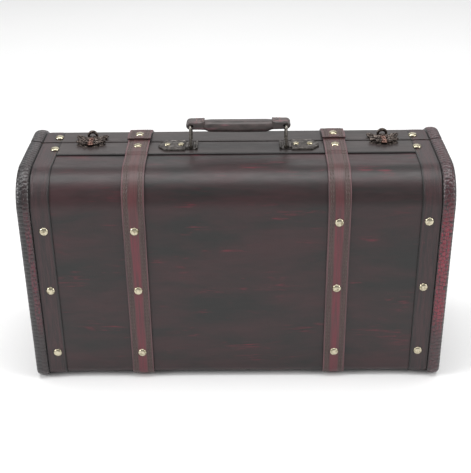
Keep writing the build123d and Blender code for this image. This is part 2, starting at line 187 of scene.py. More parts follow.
def part_of(path, first, last):
    """The stretch of a path between two distances run."""
    return path.resampled([first, *(run for run in path.run if first < run < last), last])


# ---- Mesh helpers

def new_piece(name, points, faces, flow=None, crease=35):
    mesh = bpy.data.meshes.new(name)
    mesh.from_pydata([tuple(p) for p in points], [], faces)
    mesh.validate()
    mesh.polygons.foreach_set("use_smooth", [True] * len(mesh.polygons))
    mesh.set_sharp_from_angle(angle=math.radians(crease))
    data = np.array(points if flow is None else flow, np.float32)
    attribute = mesh.attributes.new("flow", "FLOAT_VECTOR", "POINT")
    attribute.data.foreach_set("vector", data.ravel())
    piece = bpy.data.objects.new(name, mesh)
    bpy.context.scene.collection.objects.link(piece)
    return piece


def dress(piece, material, body, replaced=()):
    """Gives a piece its finish, its body and the CAD nodes it stands for."""
    piece.data.materials.append(material)
    if body:
        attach(piece, body)
    if replaced:
        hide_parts(*replaced)
    return piece


def grid_faces(rows, columns, wrap, flip=False, close=False):
    """Faces of a grid of points. wrap joins its last column to its first, and close its rows."""
    faces = []
    for i in range(rows if close else rows - 1):
        here, above = i * columns, (i + 1) % rows * columns
        for j in range(columns if wrap else columns - 1):
            k = (j + 1) % columns
            face = (here + j, here + k, above + k, above + j)
            faces.append(face[::-1] if flip else face)
    return faces


def end_faces(rows, columns, flip=False):
    """Two faces that fill in the first and last rows of a wrapped grid."""
    first = tuple(range(columns))
    last = tuple((rows - 1) * columns + j for j in range(columns))
    return [first, last[::-1]] if flip else [first[::-1], last]


def capped(rows, columns, flip=False):
    """Faces of a wrapped grid with its first and last rows filled in."""
    return grid_faces(rows, columns, True, flip) + end_faces(rows, columns, flip)


def sweep(name, path, section, lift=None, shape=None, crease=35):
    """Closed section (x, height) carried along a path. lift adds height along the run, and
    shape(x, height, run) returns a changed (x, height)."""
    points, flow = [], []
    for i, run in enumerate(path.run):
        raised = lift(run) if lift else 0.0
        for x, height in section:
            if shape:
                x, height = shape(x, height, run)
            y, z = path.point[i] + path.normal[i] * (height + raised)
            points.append((x, y, z))
            flow.append((x, run, height))
    faces = capped(len(path.run), len(section), path_turns_back(path))
    return new_piece(name, points, faces, flow, crease)


def path_turns_back(path):
    """True where a section that runs towards +X needs its faces turned over to point out."""
    direction = path.point[1] - path.point[0]
    normal = path.normal[0]
    return direction[0] * normal[1] - direction[1] * normal[0] > 0


def slab(low, high, thickness, edge=0.5 * MM, crown=0.0, base=0.0, spacing=2 * MM, groove=None):
    """Section of a strip from x = low to x = high with rounded upper edges."""
    corner = [math.radians(a) for a in (0, 22.5, 45, 67.5, 90)]
    half = (high - low) / 2
    centre = (high + low) / 2
    top = base + thickness
    points = [(high, base)]
    points += [(high - edge + edge * math.cos(a), top - edge + edge * math.sin(a)) for a in corner]
    count = max(2, round((high - low - 2 * edge) / spacing))
    for i in range(1, count):
        x = high - edge - (high - low - 2 * edge) * i / count
        points.append((x, top))
    points += [(low + edge - edge * math.sin(a), top - edge + edge * math.cos(a)) for a in corner]
    points.append((low, base))
    shaped = []
    for x, height in points:
        u = (x - centre) / half
        if height > base:
            height += crown * (1 - u * u) * (height - base) / thickness
            height -= groove(x - centre) if groove else 0.0
        shaped.append((x, height))
    return shaped[::-1]


def lathe(profile, place, turns=24):
    """Points and faces of a (radius, height) profile turned about place's Z axis. The profile
    starts on the axis at the top, and ends at its open foot."""
    points = [place @ Vector((0, 0, profile[0][1]))]
    for radius, height in profile[1:]:
        for k in range(turns):
            a = math.tau * k / turns
            points.append(place @ Vector((radius * math.cos(a), radius * math.sin(a), height)))
    faces = [(0, 1 + k, 1 + (k + 1) % turns) for k in range(turns)]
    rings = len(profile) - 1
    for i in range(rings - 1):
        for k in range(turns):
            a = 1 + i * turns + k
            b = 1 + i * turns + (k + 1) % turns
            faces.append((a, a + turns, b + turns, b))
    foot = 1 + (rings - 1) * turns
    faces.append(tuple(foot + k for k in reversed(range(turns))))
    return points, faces


def tube(centres, radius, closed=False, sides=8, flat=1.0, up=Vector((0, 0, 1))):
    """Points and faces of a round bar along centres. radius may be a list, flat squeezes it."""
    count = len(centres)
    radii = radius if isinstance(radius, (list, tuple)) else [radius] * count
    points = []
    for i, centre in enumerate(centres):
        before = centres[i - 1] if (closed or i) else centres[i]
        after = centres[(i + 1) % count] if (closed or i < count - 1) else centres[i]
        direction = (Vector(after) - Vector(before)).normalized()
        side = direction.cross(up)
        side = side.normalized() if side.length > 1e-6 else Vector((1, 0, 0))
        normal = side.cross(direction)
        for k in range(sides):
            a = math.tau * k / sides
            offset = side * math.cos(a) * radii[i] + normal * math.sin(a) * radii[i] * flat
            points.append(Vector(centre) + offset)
    if closed:
        return points, grid_faces(count, sides, True, flip=True, close=True)
    return points, grid_faces(count, sides, True, flip=True) + end_faces(count, sides)


def joined(parts):
    """Several (points, faces) as one."""
    points, faces = [], []
    for some, polygons in parts:
        offset = len(points)
        points += list(some)
        faces += [tuple(offset + k for k in face) for face in polygons]
    return points, faces


def extruded(outer, inner, low, high, bevel, place):
    """Ring between two closed outlines with the same number of points, from low to high along
    place's Z, with its outer edges bevelled."""
    count = len(outer)

    def shrunk(loop, amount):
        moved = []
        for i, p in enumerate(loop):
            q, r = Vector(loop[i - 1]), Vector(loop[(i + 1) % count])
            along = (r - q).normalized()
            moved.append(Vector(p) + Vector((-along.y, along.x)) * amount)
        return moved

    rows = [
        (inner, low), (shrunk(outer, bevel), low), (outer, low + bevel),
        (outer, high - bevel), (shrunk(outer, bevel), high), (inner, high),
    ]
    points = [place @ Vector((p[0], p[1], z)) for loop, z in rows for p in loop]
    return points, grid_faces(len(rows), count, True, close=True)


# ---- Material helpers

class Finish:
    """A node material being built: principled shader plus helpers that return sockets."""

    def __init__(self, name, coordinate="flow"):
        self.material = bpy.data.materials.new(name)
        self.material.use_nodes = True
        self.tree = self.material.node_tree
        self.shader = self.tree.nodes["Principled BSDF"]
        if coordinate == "flow":
            self.place = self.node("Attribute", {}, attribute_name="flow").outputs["Vector"]
        else:
            self.place = self.node("TexCoord", {}).outputs["Object"]

    def fill(self, socket, value):
        """Links another socket to this one, or sets its value. None leaves it alone."""
        if isinstance(value, bpy.types.NodeSocket):
            self.tree.links.new(value, socket)
        elif value is not None:
            socket.default_value = value

    def node(self, kind, inputs, **settings):
        """A new node with its settings, and its inputs filled by name or number."""
        node = self.tree.nodes.new("ShaderNode" + kind)
        for name, value in settings.items():
            setattr(node, name, value)
        for name, value in inputs.items():
            self.fill(node.inputs[name], value)
        return node

    def set(self, **values):
        for name, value in values.items():
            self.shader.inputs[name.replace("_", " ")].default_value = value

    def link(self, source, target):
        self.tree.links.new(source, self.shader.inputs[target])

    def scaled(self, scale, shift=(0, 0, 0)):
        inputs = {"Scale": scale, "Location": shift, "Vector": self.place}
        return self.node("Mapping", inputs).outputs["Vector"]

    def noise(self, scale, detail=4.0, roughness=0.55, distortion=0.0, shift=(0, 0, 0)):
        inputs = {"Vector": self.scaled(scale, shift), "Scale": 1.0, "Detail": detail,
                  "Roughness": roughness, "Distortion": distortion}
        return self.node("TexNoise", inputs).outputs["Fac"]

    def cells(self, scale, feature="F1", randomness=1.0):
        inputs = {"Vector": self.scaled(scale), "Scale": 1.0, "Randomness": randomness}
        return self.node("TexVoronoi", inputs, feature=feature).outputs["Distance"]

    def ramp(self, value, stops):
        """Grey levels at positions from 0 to 1."""
        node = self.node("ValToRGB", {"Fac": value})
        elements = node.color_ramp.elements
        while len(elements) < len(stops):
            elements.new(1.0)
        for element, (position, level) in zip(elements, stops):
            element.position = position
            element.color = (level, level, level, 1.0)
        return node.outputs["Color"]

    def rise(self, value, low, high, start=0.0, end=1.0):
        """Goes evenly from start to end while the value goes from low to high."""
        return self.ramp(value, [(low, start), (high, end)])

    def math(self, kind, a, b, clamp=False):
        node = self.node("Math", {0: a, 1: b}, operation=kind, use_clamp=clamp)
        return node.outputs["Value"]

    def axis(self, name):
        return self.node("SeparateXYZ", {"Vector": self.place}).outputs[name]

    def mix(self, factor, a, b):
        node = self.node("Mix", {"Factor": factor}, data_type="RGBA")
        colours = [socket for socket in node.inputs if socket.type == "RGBA"]
        for socket, value in zip(colours, (a, b)):
            self.fill(socket, value if isinstance(value, bpy.types.NodeSocket) else (*value, 1.0))
        return next(socket for socket in node.outputs if socket.type == "RGBA")

    def bump(self, height, distance, strength=1.0, under=None):
        inputs = {"Height": height, "Distance": distance, "Strength": strength, "Normal": under}
        return self.node("Bump", inputs).outputs["Normal"]


def grain(finish, size=0.9 * MM, depth=0.05 * MM, wrinkle=0.12 * MM):
    """Pebbled leather surface: cells, fine noise and a shallow long wrinkle."""
    per_metre = 1 / size
    pebble = finish.cells((per_metre, per_metre, per_metre), "SMOOTH_F1")
    fine = finish.noise((per_metre * 3, per_metre * 3, per_metre * 3), 3.0, 0.6)
    long = finish.noise((40, 130, 60), 3.0, 0.5)
    normal = finish.bump(long, wrinkle, 1.0)
    normal = finish.bump(pebble, depth, 1.0, normal)
    return finish.bump(fine, depth * 0.5, 1.0, normal)


def leather(name, dark, brown, red, amount=0.5, rough=(0.36, 0.5), size=0.9 * MM, shift=(0, 0, 0),
            edge=None):
    """Rubbed two-tone leather: soft brown clouds, and thin short red streaks along X. edge is
    a socket that is 1 where painted shade darkens the leather, standing for the shadow at a step."""
    finish = Finish(name)
    cloud = finish.noise((9, 34, 9), 5.0, 0.62, 0.4, shift=shift)
    base = finish.mix(finish.rise(cloud, 0.36, 0.64), dark, brown)
    streaks = finish.noise((34, 330, 1), 4.0, 0.6, 0.6, shift=shift)
    where = finish.noise((16, 40, 16), 3.0, 0.6, shift=(shift[0] + 3, shift[1], 0))
    streaks = finish.rise(streaks, 0.52, 0.72)
    where = finish.rise(where, 0.66 - 0.22 * amount, 0.84 - 0.22 * amount)
    rubbed = finish.math("MULTIPLY", streaks, where, clamp=True)
    colour = finish.mix(rubbed, base, red)
    if edge:
        # Painted shade: near black where the edge mask is 1, for a shadowed step.
        colour = finish.mix(edge(finish), colour, (0.006, 0.005, 0.005))
    finish.link(colour, "Base Color")
    worn = finish.noise((50, 260, 60), 4.0, 0.6)
    finish.link(finish.rise(worn, 0.3, 0.7, rough[0], rough[1]), "Roughness")
    finish.link(grain(finish, size), "Normal")
    finish.set(Coat_Weight=0.12, Coat_Roughness=0.3, Specular_IOR_Level=0.42)
    return finish.material


def metal(name, bright, dark, rough=(0.25, 0.5), patina=(0.42, 0.62), pits=0.04 * MM, scale=500):
    """Aged metal: a bright tone with darker patina in patches, and small dents."""
    finish = Finish(name, "object")
    cloud = finish.noise((scale, scale, scale), 4.0, 0.6)
    mask = finish.rise(cloud, patina[0], patina[1])
    finish.link(finish.mix(mask, bright, dark), "Base Color")
    finish.link(finish.rise(cloud, 0.35, 0.65, rough[0], rough[1]), "Roughness")
    dents = finish.noise((scale * 2.2,) * 3, 2.0, 0.5)
    finish.link(finish.bump(dents, pits, 1.0), "Normal")
    finish.set(Metallic=1.0)
    return finish.material


# ---- Materials

def case_leather():
    return leather("case_leather", (0.011, 0.010, 0.010), (0.034, 0.013, 0.015), (0.19, 0.010, 0.028),
                   amount=0.5)


def front_edge_shade(finish):
    """Painted shade: 1 along the outer edge of a rim strip, standing for the shadow at its edge step."""
    across = finish.math("MULTIPLY", finish.axis("Y"), 100)
    return finish.ramp(across, [(0.0, 1.0), (0.10, 1.0), (0.16, 0.0)])


def top_leather():
    return leather("rim_leather", (0.024, 0.020, 0.020), (0.042, 0.032, 0.031), (0.10, 0.02, 0.024),
                   amount=0.2, rough=(0.38, 0.5), edge=front_edge_shade)


def strip_edge_shade(finish):
    """Painted shade: 1 along both long edges of a strip, standing for the shadow in the grooves and steps
    beside it.
    """
    across = finish.axis("Z")
    return finish.ramp(across, [(0.0, 1.0), (0.05, 1.0), (0.10, 0.0), (0.93, 0.0), (0.97, 1.0)])


def band_leather():
    return leather("band_leather", (0.018, 0.013, 0.014), (0.046, 0.020, 0.022), (0.14, 0.014, 0.028),
                   amount=0.4, rough=(0.36, 0.48), shift=(2, 5, 0), edge=strip_edge_shade)


def strap_leather(name, muted):
    """Red along the middle, grey-brown under the stitching and rosy at the worn edges. muted is
    how far the red is rubbed off below the shoulder, where it always fades."""
    finish = Finish(name)
    across = finish.axis("Z")
    patch = finish.noise((70, 22, 9), 4.0, 0.6)
    patches = finish.rise(patch, 0.36, 0.66)
    red = finish.mix(patches, (0.072, 0.020, 0.024), (0.14, 0.016, 0.028))
    sewn = finish.mix(patches, (0.040, 0.019, 0.018), (0.074, 0.038, 0.035))
    rosy = finish.mix(patches, (0.055, 0.026, 0.028), (0.125, 0.050, 0.056))
    wavy = finish.math("ADD", across, finish.math("MULTIPLY", finish.noise((300, 60, 4), 3.0), 0.16))
    along = finish.math("MULTIPLY", finish.axis("Y"), 2.0)
    faded = finish.rise(along, 0.50, 0.60, muted, 0.8)
    off_stripe = finish.math("MAXIMUM", finish.rise(wavy, 0.38, 0.50), faded)
    colour = finish.mix(off_stripe, red, sewn)
    colour = finish.mix(finish.rise(wavy, 0.90, 0.96), colour, rosy)
    # Painted shade: near black along the outermost edges, standing for the strap's shadowed sides.
    finish.link(finish.mix(finish.rise(across, 0.965, 0.99), colour, (0.008, 0.006, 0.006)),
                "Base Color")
    worn = finish.noise((150, 60, 60), 4.0, 0.6)
    finish.link(finish.rise(worn, 0.3, 0.7, 0.34, 0.52), "Roughness")
    finish.link(strap_grain(finish), "Normal")
    finish.set(Coat_Weight=0.12, Coat_Roughness=0.3)
    return finish.material


def strap_grain(finish):
    per_metre = 1100
    pebble = finish.cells((per_metre, per_metre, per_metre * 0.1), "SMOOTH_F1")
    long = finish.noise((300, 60, 30), 3.0, 0.5)
    normal = finish.bump(long, 0.1 * MM, 1.0)
    return finish.bump(pebble, 0.05 * MM, 1.0, normal)


def binding_leather(name, dark, red, reach):
    """Embossed piping in irregular scales. Red from its inner edge out to reach, then black. A near-black
    line of painted shade runs along the inner edge.
    """
    finish = Finish(name)
    across = finish.axis("Z")
    edges = finish.cells((95, 230, 3), "DISTANCE_TO_EDGE", 0.75)
    scale_edge = finish.rise(edges, 0.01, 0.10)
    patch = finish.noise((160, 55, 30), 4.0, 0.65)
    along = finish.math("MULTIPLY", finish.axis("Y"), 2.0)
    on_face = finish.ramp(along, [(0.25, 0.0), (0.31, 1.0), (0.50, 1.0), (0.57, 0.0)])
    reddened = finish.math("MULTIPLY", finish.rise(patch, 0.36, 0.60), on_face)
    face = finish.mix(reddened, dark, red)
    ragged = finish.math("ADD", across, finish.math("MULTIPLY", finish.noise((200, 150, 4), 3.0), 0.2))
    outer = finish.rise(ragged, reach, reach + 0.12)
    colour = finish.mix(outer, face, (0.010, 0.008, 0.009))
    # Painted shade: near black along the inner edge, standing for the shadowed gap beside the band.
    colour = finish.mix(finish.rise(across, 0.03, 0.14, 1.0, 0.0), colour, (0.005, 0.004, 0.004))
    finish.link(finish.mix(scale_edge, (0.014, 0.008, 0.010), colour), "Base Color")
    finish.link(finish.rise(patch, 0.3, 0.7, 0.24, 0.42), "Roughness")
    fine = grain(finish, 0.7 * MM, 0.04 * MM, 0.05 * MM)
    finish.link(finish.bump(scale_edge, 0.15 * MM, 1.0, fine), "Normal")
    finish.set(Coat_Weight=0.4, Coat_Roughness=0.22)
    return finish.material


def handle_leather():
    finish = Finish("handle_leather", "object")
    patch = finish.noise((70, 200, 200), 5.0, 0.6)
    base = finish.mix(finish.rise(patch, 0.35, 0.65), (0.030, 0.024, 0.023), (0.075, 0.055, 0.053))
    rub = finish.rise(finish.noise((60, 160, 160), 3.0, 0.5, shift=(1.7, 0, 0)), 0.58, 0.72)
    finish.link(finish.mix(rub, base, (0.15, 0.070, 0.080)), "Base Color")
    finish.link(finish.rise(patch, 0.3, 0.7, 0.36, 0.52), "Roughness")
    finish.link(grain(finish, 0.8 * MM), "Normal")
    finish.set(Coat_Weight=0.15, Coat_Roughness=0.35)
    return finish.material


def thread(name, colour):
    finish = Finish(name, "object")
    twist = finish.noise((2500, 2500, 2500), 2.0, 0.5)
    finish.link(finish.mix(finish.rise(twist, 0.35, 0.65), tuple(c * 0.6 for c in colour), colour),
                "Base Color")
    finish.set(Roughness=0.8, Sheen_Weight=0.2)
    return finish.material


def lining_cloth():
    """Woven cotton in dark wine red."""
    finish = Finish("lining_cloth", "object")
    waves = []
    for direction in ("X", "Z"):
        inputs = {"Vector": finish.scaled((1, 1, 1)), "Scale": 450, "Distortion": 0.6}
        waves.append(finish.node("TexWave", inputs, bands_direction=direction).outputs["Fac"])
    woven = finish.math("MULTIPLY", *waves)
    cloud = finish.noise((25, 25, 25), 4.0, 0.55)
    base = finish.mix(finish.rise(cloud, 0.3, 0.7), (0.10, 0.020, 0.022), (0.16, 0.034, 0.034))
    finish.link(finish.mix(woven, base, (0.22, 0.06, 0.055)), "Base Color")
    finish.link(finish.bump(woven, 0.12 * MM, 0.8, finish.bump(cloud, 1.2 * MM)), "Normal")
    finish.set(Roughness=0.9, Sheen_Weight=0.3, Sheen_Roughness=0.5)
    return finish.material


def board_fibre():
    finish = Finish("board_fibre", "object")
    fibre = finish.noise((900, 900, 300), 5.0, 0.7)
    finish.link(finish.mix(fibre, (0.16, 0.10, 0.06), (0.34, 0.23, 0.14)), "Base Color")
    finish.link(finish.bump(fibre, 0.1 * MM), "Normal")
    finish.set(Roughness=0.85)
    return finish.material


MAT = {
    "case": case_leather(),
    "rim": top_leather(),
    "band": band_leather(),
    "strap": strap_leather("strap_leather", 0.0),
    "tab": strap_leather("tab_leather", 0.8),
    "binding_left": binding_leather("binding_leather_left", (0.022, 0.012, 0.013),
                                    (0.12, 0.012, 0.028), 0.52),
    "binding_right": binding_leather("binding_leather_right", (0.045, 0.012, 0.016),
                                     (0.24, 0.010, 0.032), 0.92),
    "handle": handle_leather(),
    "thread": thread("strap_thread", (0.10, 0.075, 0.065)),
    "handle_thread": thread("handle_thread", (0.30, 0.17, 0.16)),
    "lining": lining_cloth(),
    "board": board_fibre(),
    "nail": metal("nail_brass", (0.56, 0.51, 0.38), (0.22, 0.19, 0.12),
                  (0.16, 0.34), (0.46, 0.66), 0.04 * MM, 330),
    "latch": metal("latch_bronze", (0.20, 0.165, 0.145), (0.030, 0.023, 0.021),
                   (0.30, 0.55), (0.38, 0.56), 0.02 * MM),
    "copper": metal("latch_copper", (0.27, 0.16, 0.13), (0.05, 0.028, 0.024),
                    (0.28, 0.5), (0.40, 0.60), 0.02 * MM),
    "plate": metal("plate_metal", (0.17, 0.155, 0.145), (0.065, 0.058, 0.054),
                   (0.34, 0.55), (0.36, 0.60), 0.015 * MM, 260),
    "ring": metal("ring_metal", (0.28, 0.26, 0.23), (0.10, 0.09, 0.08),
                  (0.25, 0.45), (0.42, 0.65), 0.03 * MM, 400),
    "hinge": metal("hinge_brass", (0.42, 0.33, 0.19), (0.10, 0.075, 0.045),
                   (0.3, 0.5), (0.42, 0.62), 0.04 * MM, 300),
}


# ---- Leather covers

def uneven(x, run, amount, seed):
    """Slow hand-made waviness of a surface."""
    return amount * noise.noise(Vector((x * 14, run * 20, seed)))


def leather_cover(name, lid):
    """Cover over front, top and underside, turned in over the mouth at both ends."""
    path = case_path(lid, under=SEAM + (1 if lid else -1) * 1.8 * MM, step=2.5 * MM)
    section = slab(-END_FACE, END_FACE, 0.4 * MM, edge=0.2 * MM, base=-0.4 * MM, spacing=6 * MM)

    def shape(x, height, run):
        if height < -0.3 * MM:
            return x, height
        return x, height + uneven(x, run, 0.16 * MM, 3.0 if lid else 1.0) - 0.08 * MM

    return sweep(name, path, section, shape=shape)


def outline_loop(grow, lid, y_mouth, count=10):
    """Closed loop (y, z) of one half's side outline, moved out by grow."""
    out = 1 if lid else -1
    face = (BACK if lid else FRONT) + out * grow
    top, bottom = TOP + grow, BOTTOM - grow
    big, small = SHOULDER + grow, max(HEEL + grow, 1 * MM)
    loop = [(y_mouth, bottom)]
    for i in range(count + 1):
        a = math.pi / 2 * i / count
        loop.append((face - out * small + out * small * math.sin(a), bottom + small - small * math.cos(a)))
    for i in range(2 * count + 1):
        a = math.pi / 2 * i / (2 * count)
        loop.append((face - out * big + out * big * math.cos(a), top - big + big * math.sin(a)))
    loop.append((y_mouth, top))
    return loop


def end_leather(name, side, lid):
    """Padded leather on an end face, tucked under the binding."""
    out = 1 if lid else -1
    mouth = SEAM + out * 0.15 * MM
    steps = [(-9.5, 0), (-9.5, 0.1), (-12, 0.35), (-14, 0.65), (-18, 0.95), (-24, 1.1), (-34, 1.15)]
    loops = [outline_loop(grow * MM, lid, mouth) for grow, _ in steps]
    points = []
    for (_, height), loop in zip(steps, loops):
        points += [(side * (END_FACE + height * MM), y, z) for y, z in loop]
    faces = capped(len(loops), len(loops[0]), flip=(side > 0) == lid)
    flow = [(y, z, 0) for _, y, z in points]
    return new_piece(name, points, faces, flow)


def mouth_leather(name, lid):
    """Leather turned over the edges of the boards, all round the mouth."""
    out = 1 if lid else -1
    y_face = SEAM + out * 0.05 * MM
    y_back = SEAM + out * 0.15 * MM

    def frame_loop(half_width, low, high, corner):
        loop = []
        centres = [(half_width - corner, high - corner, 0), (corner - half_width, high - corner, 90),
                   (corner - half_width, low + corner, 180), (half_width - corner, low + corner, 270)]
        for cx, cz, start in centres:
            for i in range(5):
                a = math.radians(start + 22.5 * i)
                loop.append((cx + corner * math.cos(a), cz + corner * math.sin(a)))
        return loop

    outer = frame_loop(END_FACE, BOTTOM + 1.9 * MM, TOP - HAIR, 0.5 * MM)
    inner = frame_loop(LINING_END - 0.9 * MM, BOTTOM + WALL + 0.9 * MM, TOP - WALL - 0.9 * MM, 0.5 * MM)
    rows = [(outer, y_back), (outer, y_face), (inner, y_face), (inner, y_back)]
    points = [(x, y, z) for loop, y in rows for x, z in loop]
    faces = grid_faces(len(rows), len(outer), True, flip=not lid, close=True)
    return new_piece(name, points, faces, [(x, z, 0) for x, _, z in points])


# ---- Strips

def binding_section(side):
    """Half-round piping: over the edge, round the corner and folded onto the end face."""
    width = END - BINDING_INNER
    face = END_FACE - BINDING_INNER
    fold, lift, steps = 12 * MM, 0.1 * MM, 22
    points = [(0.0, 0.0)]
    for i in range(1, steps):
        a = math.pi * (1 - i / steps)
        across = width / 2 + width / 2 * math.cos(a) * 0.999
        points.append((across, lift + (BINDING - lift) * math.sin(a) ** 0.62))
    points += [(width, -2 * MM), (width, -6 * MM), (width - 0.4 * MM, -fold + 1.2 * MM),
               (width - 1.6 * MM, -fold), (face, -fold), (face, -0.2 * MM), (0.6 * MM, -0.2 * MM)]
    section = [(side * (BINDING_INNER + a), h) for a, h in points]
    return section if side > 0 else section[::-1]


def channel(piece, values):
    """Writes the third flow channel of a piece."""
    flow = piece.data.attributes["flow"]
    data = np.zeros(len(flow.data) * 3, np.float32)
    flow.data.foreach_get("vector", data)
    data = data.reshape(-1, 3)
    data[:, 2] = values(data[:, 0])
    flow.data.foreach_set("vector", data.ravel())


def binding(name, side, lid):
    """Piping with two rows of embossed scales, tapering in a folded end at the seam."""
    path = case_path(lid, step=0.7 * MM)
    pitch = 4.6 * MM
    width = END - BINDING_INNER

    def shape(x, height, run):
        across = (abs(x) - BINDING_INNER) / width
        if height <= -0.15 * MM and across < 0.99:
            return x, height
        lane = min(1, math.floor(across * 2))
        wave = math.cos(math.tau * (run / pitch + 0.5 * lane) + 1.5 * math.sin(run * 47 + lane))
        relief = 0.42 * MM * smooth((wave - 0.35) / 0.65) + 0.25 * MM * abs(math.cos(math.pi * across)) ** 12
        relief += uneven(x * 3, run * 2, 0.2 * MM, 7.0 + side)
        fold = near_end(path, run, 2.6 * MM)
        if height > 0:
            return x, max(0.05 * MM, height - relief - fold * 1.6 * MM)
        return x - math.copysign(relief * 0.7 + fold * 0.8 * MM, x), height

    piece = sweep(name, path, binding_section(side), shape=shape, crease=60)
    channel(piece, lambda x: (np.abs(x) - BINDING_INNER) / width)
    return piece


def band(name, side, lid):
    """Flat strip beside the binding, with a pressed line along each edge."""
    low, high = sorted((side * BAND_INNER, side * BINDING_INNER))
    half = (high - low) / 2

    def groove(x):
        return 0.3 * MM * math.exp(-((abs(x) - half + 2.2 * MM) / (0.45 * MM)) ** 2)

    section = slab(low, high, BAND, edge=0.45 * MM, crown=0.15 * MM, spacing=0.5 * MM, groove=groove)

    def shape(x, height, run):
        return x, height + (uneven(x, run, 0.1 * MM, 11.0 + side) if height > 0.3 * MM else 0.0)

    piece = sweep(name, case_path(lid, step=2.5 * MM), section, shape=shape)
    channel(piece, lambda x: (np.abs(x) - BAND_INNER) / (BINDING_INNER - BAND_INNER))
    return piece


def rim_trim(name, lid):
    """Leather strip along the rim, over the top only."""
    out = 1 if lid else -1
    path = case_path(lid)
    edge = TRIM_BACK if lid else TRIM_FRONT
    first = path.run_at(edge, TOP)
    stretch = part_of(path, first, path.run[-1])
    section = slab(-BAND_INNER + HAIR, BAND_INNER - HAIR, TRIM, edge=0.4 * MM, spacing=6 * MM)

    def shape(x, height, run):
        if height < 0.3 * MM:
            return x, height
        rounded = near_end(stretch, run, 1.1 * MM) * 0.8 * MM
        return x, height - rounded + uneven(x, run * 2, 0.15 * MM, 17.0 + out)

    fine = denser_ends(stretch, 1.2 * MM, 0.2 * MM)
    return sweep(name, fine, section, shape=shape)


def denser_ends(path, reach, step):
    """Adds points near both ends of a path, for rounding them."""
    total = path.run[-1]
    extra = [k * step for k in range(1, int(reach / step))]
    return path.resampled(sorted({*path.run, *extra, *(total - e for e in extra)}))


def near_end(path, run, reach):
    """1 at either end of a path, falling to 0 at a distance of reach from it."""
    return max(0.0, 1 - min(run, path.run[-1] - run) / reach) ** 2


# ---- Straps

def strap_groove(x):
    """Two pressed stitching lines near each edge of a strap."""
    return sum(0.32 * MM * math.exp(-((abs(x) - line) / (0.55 * MM)) ** 2) for line in STITCH_LINES)


STITCH_LINES = (6.1 * MM, 8.5 * MM)


def smooth(t):
    t = min(1.0, max(0.0, t))
    return t * t * (3 - 2 * t)


def strap_sweep(name, centre, width, path, lift):
    low, high = centre - width / 2, centre + width / 2
    section = slab(low, high, STRAP, edge=0.7 * MM, crown=0.25 * MM, spacing=0.45 * MM, groove=strap_groove)

    def shape(x, height, run):
        if height < 0.4 * MM:
            return x, height
        rounded = near_end(path, run, 1.2 * MM) * 0.8 * MM
        return x, height - rounded + uneven(x, run, 0.12 * MM, centre * 90)

    piece = sweep(name, denser_ends(path, 1.4 * MM, 0.2 * MM), section, lift=lift, shape=shape)
    channel(piece, lambda x: np.abs(x - centre) / (width / 2))
    return piece


def stitches(name, centre, path, lift, first, last):
    """Lockstitch threads along a strap, one short bar for each stitch."""
    pitch, length, radius = 4.4 * MM, 2.6 * MM, 0.42 * MM
    parts = []
    rows = [sign * line for line in STITCH_LINES for sign in (-1, 1)]
    count = int((last - first) / pitch)
    for row, offset in enumerate(rows):
        for i in range(count):
            start = first + (i + 0.5 * (row % 2) + 0.25) * pitch
            centres, radii = [], []
            for t in (0.0, 0.25, 0.5, 0.75, 1.0):
                run = start + length * t
                point, normal = path.at(run)
                bow = 0.3 * MM * math.sin(math.pi * t) - 0.12 * MM
                y, z = point + normal * (STRAP - 0.1 * MM + bow + lift(run))
                centres.append((centre + offset, y, z))
                radii.append(radius * (0.55 + 0.45 * math.sin(math.pi * t)))
            parts.append(tube(centres, radii, sides=6, up=Vector((1, 0, 0))))
    points, faces = joined(parts)
    return new_piece(name, points, faces)


def body_strap(word):
    """Front strap. It climbs onto the rim trim, and its tail lies under the lid's tab."""
    centre = middle(f"body_strap_{word}").x
    path = case_path(False, top=TAIL_END, step=1.5 * MM)
    climb = path.run_at(TRIM_FRONT, TOP)
    raised = TAIL_TOP - TOP - STRAP

    def lift(run):
        return raised * smooth((run - climb + 4.5 * MM) / (4.5 * MM))

    piece = strap_sweep(f"body_strap_leather_{word}", centre, STRAP_WIDTH, path, lift)
    dress(piece, MAT["strap"], "body", [f"body_strap_{word}"])
    seam_run = path.run_at(SEAM, TOP)
    sewn = stitches(f"body_strap_stitches_{word}", centre, path, lift, 4 * MM, seam_run - 4 * MM)
    dress(sewn, MAT["thread"], "body")


def lid_strap(word):
    """Rear strap and its tab in one length. It bends where the tab's hinge is."""
    centre = middle(f"lid_strap_{word}").x
    path = case_path(True, top=TAB_FRONT, step=1.5 * MM)
    climb = path.run_at(TRIM_BACK, TOP)
    joint = JOINT[f"tab_{word}_lift"]
    hinge_run = path.run_at(joint["pos_m"][1], TOP)
    tab_lift = TAB_TOP - TOP - STRAP

    def lift(run):
        on_trim = (TRIM + 0.05 * MM) * smooth((run - climb + 4.5 * MM) / (4.5 * MM))
        on_tail = (tab_lift - TRIM) * smooth((run - hinge_run) / (5.0 * MM))
        return on_trim + on_tail

    width = STRAP_WIDTH + 1.6 * MM
    piece = strap_sweep(f"lid_strap_leather_{word}", centre, width, path, lift)
    piece.data.materials.append(MAT["tab"])
    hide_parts(f"lid_strap_{word}", f"strap_tab_{word}")
    bend_strap(piece)
    sewn = stitches(f"lid_strap_stitches_{word}", centre, path, lift, 4 * MM, path.run[-1] - 3 * MM)
    sewn.data.materials.append(MAT["thread"])
    bend_strap(sewn)


def bend_strap(piece):
    """Bakes the piece's placement into its mesh."""
    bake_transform(piece)


# ---- Nails

